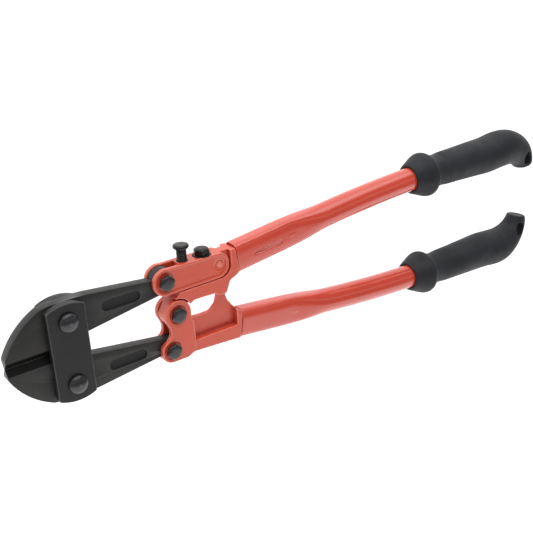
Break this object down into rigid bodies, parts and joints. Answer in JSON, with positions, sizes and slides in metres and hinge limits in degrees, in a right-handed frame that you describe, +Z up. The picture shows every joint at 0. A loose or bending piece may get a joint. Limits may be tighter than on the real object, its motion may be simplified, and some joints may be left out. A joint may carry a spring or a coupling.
{
  "type": "bolt cutters",
  "caption": "Hand bolt cutters with compound leverage: forged V-ground jaws in a strap link, recessed handle castings, an adjuster saddle, tube handles and hooked rubber grips.",
  "frame": {"origin": "middle of the bounding box, on the surface that the tool lies on", "axes": "+X along the tool from the jaws to the grips, +Y towards the handle with the adjuster, +Z up out of the flat side with the domed bolt heads"},
  "size_m": [0.45, 0.1126, 0.033],
  "materials": {
    "red_enamel": "glossy red-orange enamel over castings and tube",
    "forged_steel": "blackened forged steel, satin",
    "strap_steel": "blackened plate, satin",
    "fastener_steel": "black oxide",
    "grip_rubber": "matte charcoal rubber"
  },
  "bodies": {
    "lower_handle": {"lower_casting": "red_enamel", "lower_tube": "red_enamel", "lower_grip": "grip_rubber", "centre_bolt": "fastener_steel", "centre_nut": "fastener_steel", "lower_rear_bolt": "fastener_steel", "lower_rear_nut": "fastener_steel"},
    "upper_handle": {"upper_casting": "red_enamel", "upper_tube": "red_enamel", "upper_grip": "grip_rubber", "saddle_rivet": "red_enamel"},
    "adjuster": {"adjuster_saddle": "red_enamel", "upper_rear_bolt": "fastener_steel", "upper_rear_nut": "fastener_steel"},
    "adjusting_screw": {"adjusting_screw": "fastener_steel"},
    "lock_bolt": {"lock_bolt": "fastener_steel", "lock_washer": "fastener_steel"},
    "lower_jaw": {"lower_jaw": "forged_steel"},
    "straps": {"front_strap": "strap_steel", "back_strap": "strap_steel", "upper_jaw_bolt": "fastener_steel", "lower_jaw_bolt": "fastener_steel", "upper_jaw_nut": "fastener_steel", "lower_jaw_nut": "fastener_steel"},
    "upper_jaw": {"upper_jaw": "forged_steel"}
  },
  "joints": [
    {"name": "handle_opening", "type": "hinge", "parent": "lower_handle", "child": "upper_handle", "pos_m": [-0.113, 0, 0.0165], "axis": [0, 0, 1], "range_deg": [0, 100]},
    {"name": "lower_jaw_tail", "type": "hinge", "parent": "lower_handle", "child": "lower_jaw", "pos_m": [-0.1189, -0.024, 0.0165], "axis": [0, 0, 1], "range_deg": [0, 61]},
    {"name": "lower_jaw_eye", "type": "hinge", "parent": "lower_jaw", "child": "straps", "pos_m": [-0.186, -0.0207, 0.0165], "axis": [0, 0, 1], "range_deg": [-11, 0]},
    {"name": "upper_jaw_eye", "type": "hinge", "parent": "straps", "child": "upper_jaw", "pos_m": [-0.186, 0.0207, 0.0165], "axis": [0, 0, 1], "range_deg": [-11, 0]},
    {"name": "saddle_tilt", "type": "hinge", "parent": "upper_handle", "child": "adjuster", "pos_m": [-0.0793, 0.0246, 0.0165], "axis": [0, 0, 1], "range_deg": [0, 0.6]},
    {"name": "adjusting_screw_turn", "type": "hinge", "parent": "adjuster", "child": "adjusting_screw", "pos_m": [-0.103, 0.0327, 0.0165], "axis": [0, 1, 0], "range_deg": [0, 72]},
    {"name": "lock_bolt_turn", "type": "hinge", "parent": "upper_handle", "child": "lock_bolt", "pos_m": [-0.0885, 0.0327, 0.0165], "axis": [0, 1, 0], "continuous": true}
  ],
  "couplings": [
    {"joint": "lower_jaw_tail", "follows": "handle_opening", "ratio": 0.601},
    {"joint": "lower_jaw_eye", "follows": "handle_opening", "ratio": -0.101},
    {"joint": "upper_jaw_eye", "follows": "handle_opening", "ratio": -0.101},
    {"joint": "adjusting_screw_turn", "follows": "saddle_tilt", "ratio": 120}
  ]
}
